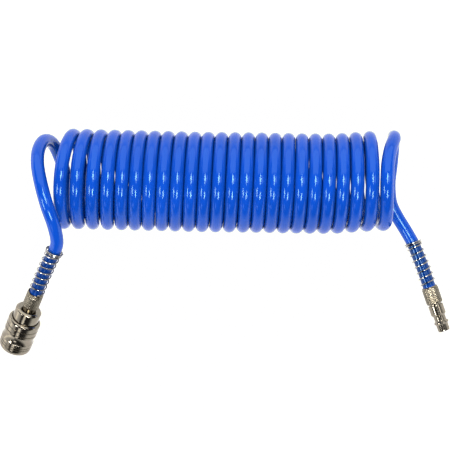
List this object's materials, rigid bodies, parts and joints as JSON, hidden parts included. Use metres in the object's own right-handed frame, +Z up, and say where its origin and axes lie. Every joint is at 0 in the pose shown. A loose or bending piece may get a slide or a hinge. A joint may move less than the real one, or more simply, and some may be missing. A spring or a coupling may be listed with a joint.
{
  "type": "coiled air hose",
  "caption": "Spiral-wound compressed-air hose lying on its side, with a quick coupler on one end and the matching plug on the other, each with a clamp nut and spring guard.",
  "frame": {"origin": "on the floor, under the middle of the coil, at the coil's lowest line", "axes": "+X along the coil towards the plug end, +Y away from the two fittings, +Z up"},
  "size_m": [0.3497, 0.1743, 0.0786],
  "materials": {
    "hose": "glossy blue polyurethane",
    "plated": "bright nickel plating on brass",
    "steel": "bright drawn spring steel",
    "rubber": "matt black seal rubber"
  },
  "bodies": {
    "hose_with_ends": {"hose_coil": "hose", "hose_tail_coupler": "hose", "hose_tail_plug": "hose", "hose_end_coupler": "hose", "hose_end_plug": "hose", "coupler_adapter": "plated", "adapter_seal_ring": "rubber", "coupler_body": "plated", "socket_seal_ring": "rubber", "sleeve_stop_ring": "steel", "sleeve_spring": "steel", "valve_spring": "steel", "plug_body": "plated"},
    "sleeve": {"coupler_sleeve": "plated"},
    "valve": {"valve_poppet": "plated", "valve_seal_ring": "rubber"},
    "coupler_guard": {"coupler_spring_guard": "steel"},
    "coupler_clamp_nut": {"coupler_nut": "plated"},
    "plug_guard": {"plug_spring_guard": "steel"},
    "plug_clamp_nut": {"plug_nut": "plated"},
    "ball_1": {"locking_ball_1": "steel"},
    "ball_2": {"locking_ball_2": "steel"},
    "ball_3": {"locking_ball_3": "steel"},
    "ball_4": {"locking_ball_4": "steel"},
    "ball_5": {"locking_ball_5": "steel"},
    "ball_6": {"locking_ball_6": "steel"}
  },
  "joints": [
    {"name": "sleeve_slide", "type": "slide", "parent": "hose_with_ends", "child": "sleeve", "axis": [0.3678, 0.8107, 0.4555], "range_m": [0, 0.004], "stiffness_N_per_m": 1500, "springref_m": -0.005, "deforming": ["sleeve_spring"]},
    {"name": "valve_slide", "type": "slide", "parent": "hose_with_ends", "child": "valve", "axis": [0.3678, 0.8107, 0.4555], "range_m": [0, 0.005], "stiffness_N_per_m": 500, "springref_m": -0.006, "deforming": ["valve_spring"]},
    {"name": "ball_1_slide", "type": "slide", "parent": "hose_with_ends", "child": "ball_1", "axis": [0.9107, -0.4131, 0], "range_m": [0, 0.0012]},
    {"name": "ball_2_slide", "type": "slide", "parent": "hose_with_ends", "child": "ball_2", "axis": [0.2924, -0.5658, 0.7709], "range_m": [0, 0.0012]},
    {"name": "ball_3_slide", "type": "slide", "parent": "hose_with_ends", "child": "ball_3", "axis": [-0.6183, -0.1527, 0.7709], "range_m": [0, 0.0012]},
    {"name": "ball_4_slide", "type": "slide", "parent": "hose_with_ends", "child": "ball_4", "axis": [-0.9107, 0.4131, 0], "range_m": [0, 0.0012]},
    {"name": "ball_5_slide", "type": "slide", "parent": "hose_with_ends", "child": "ball_5", "axis": [-0.2924, 0.5658, -0.7709], "range_m": [0, 0.0012]},
    {"name": "ball_6_slide", "type": "slide", "parent": "hose_with_ends", "child": "ball_6", "axis": [0.6183, 0.1527, -0.7709], "range_m": [0, 0.0012]},
    {"name": "coupler_guard_slide", "type": "slide", "parent": "hose_with_ends", "child": "coupler_guard", "axis": [0.3678, 0.8107, 0.4555], "range_m": [0, 0.004]},
    {"name": "coupler_nut_turn", "type": "hinge", "parent": "coupler_guard", "child": "coupler_clamp_nut", "pos_m": [-0.1403, -0.0858, 0.03476], "axis": [0.3678, 0.8107, 0.4555], "range_deg": [0, 1440]},
    {"name": "plug_guard_slide", "type": "slide", "parent": "hose_with_ends", "child": "plug_guard", "axis": [-0.3355, 0.9421, 0], "range_m": [0, 0.004]},
    {"name": "plug_nut_turn", "type": "hinge", "parent": "plug_guard", "child": "plug_clamp_nut", "pos_m": [0.1625, -0.0788, 0.00642], "axis": [-0.3355, 0.9421, 0], "range_deg": [0, 1440]}
  ],
  "couplings": [
    {"joint": "ball_1_slide", "follows": "sleeve_slide", "ratio": 0.3},
    {"joint": "ball_2_slide", "follows": "sleeve_slide", "ratio": 0.3},
    {"joint": "ball_3_slide", "follows": "sleeve_slide", "ratio": 0.3},
    {"joint": "ball_4_slide", "follows": "sleeve_slide", "ratio": 0.3},
    {"joint": "ball_5_slide", "follows": "sleeve_slide", "ratio": 0.3},
    {"joint": "ball_6_slide", "follows": "sleeve_slide", "ratio": 0.3},
    {"joint": "coupler_nut_turn", "follows": "coupler_guard_slide", "rad_per_m": 6283.2},
    {"joint": "plug_nut_turn", "follows": "plug_guard_slide", "rad_per_m": 6283.2}
  ]
}
